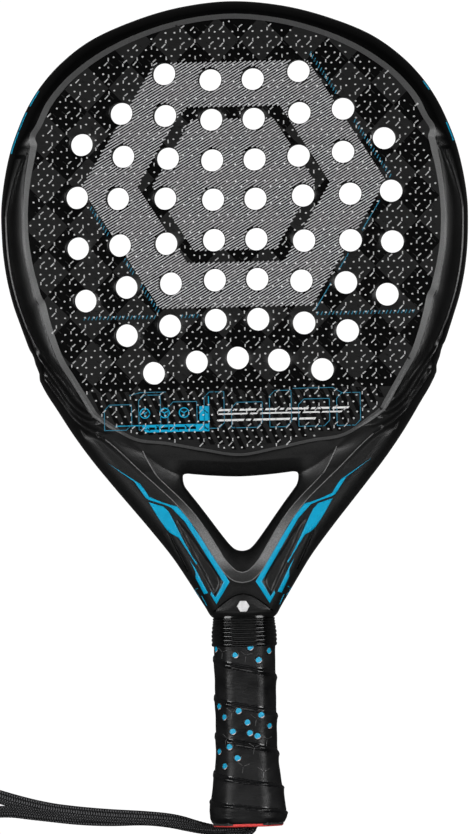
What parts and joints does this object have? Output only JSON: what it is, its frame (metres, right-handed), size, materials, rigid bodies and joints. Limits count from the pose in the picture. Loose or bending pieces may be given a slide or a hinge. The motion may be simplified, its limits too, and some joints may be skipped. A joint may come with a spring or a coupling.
{
  "type": "padel racket",
  "caption": "Teardrop padel racket with a drilled solid face, open triangular throat, wound grip, wrist strap loop and screw-in side weights.",
  "frame": {"origin": "under the middle of the racket, without its strap, on the surface it lies on", "axes": "+X across the face, +Y from butt to head, +Z out of the front face"},
  "size_m": [0.3921, 0.4649, 0.038],
  "materials": {
    "face_carbon": "satin carbon weave with raised texture and print",
    "core_foam": "dark fine closed-cell foam",
    "frame_black": "satin black lacquer",
    "frame_graphics": "printed blue and white graphics under lacquer",
    "filler_foam": "expanded foam",
    "carbon_tube": "raw moulded carbon",
    "handle_foam": "rigid moulded foam",
    "grip_base": "cushioned grip",
    "grip_tape": "smooth tacky wrapped tape",
    "finishing_tape": "vinyl tape",
    "collar_rubber": "glossy ribbed rubber",
    "cap_plastic": "moulded",
    "coral_plastic": "moulded",
    "strap_knit": "dense flat knit",
    "socket_plastic": "moulded",
    "brass": "turned",
    "weight_metal": "black coated",
    "screw_steel": "turned"
  },
  "bodies": {
    "racket": {"front_face_skin": "face_carbon", "back_face_skin": "face_carbon", "foam_core": "core_foam", "head_hoop": "frame_black", "hoop_foam": "filler_foam", "right_arm": "frame_black", "right_arm_foam": "filler_foam", "left_arm": "frame_black", "left_arm_foam": "filler_foam", "throat_bridge": "frame_black", "bridge_foam": "filler_foam", "throat_yoke": "frame_black", "left_tube_tail": "carbon_tube", "right_tube_tail": "carbon_tube", "handle_core": "handle_foam", "base_grip": "grip_base", "overgrip": "grip_tape", "finishing_tape": "finishing_tape", "ribbed_collar": "collar_rubber", "butt_cap": "cap_plastic", "butt_plate": "coral_plastic", "strap_knot": "strap_knit", "wrist_strap": "strap_knit", "left_weight_socket": "socket_plastic", "right_weight_socket": "socket_plastic", "left_threaded_insert": "brass", "right_threaded_insert": "brass"},
    "left_weight": {"left_weight": "weight_metal"},
    "left_weight_screw": {"left_weight_screw": "screw_steel"},
    "right_weight": {"right_weight": "weight_metal"},
    "right_weight_screw": {"right_weight_screw": "screw_steel"}
  },
  "joints": [
    {"name": "left_weight_slide", "type": "slide", "parent": "racket", "child": "left_weight", "axis": [-0.933, -0.36, 0], "range_m": [0, 0.0042]},
    {"name": "left_screw_turn", "type": "hinge", "parent": "left_weight", "child": "left_weight_screw", "pos_m": [-0.1099, 0.028, 0.019], "axis": [-0.933, -0.36, 0], "range_deg": [0, 2161]},
    {"name": "right_weight_slide", "type": "slide", "parent": "racket", "child": "right_weight", "axis": [0.933, -0.36, 0], "range_m": [0, 0.0042]},
    {"name": "right_screw_turn", "type": "hinge", "parent": "right_weight", "child": "right_weight_screw", "pos_m": [0.1099, 0.028, 0.019], "axis": [0.933, -0.36, 0], "range_deg": [0, 2161]}
  ],
  "couplings": [
    {"joint": "left_screw_turn", "follows": "left_weight_slide", "rad_per_m": 8976},
    {"joint": "right_screw_turn", "follows": "right_weight_slide", "rad_per_m": 8976}
  ]
}
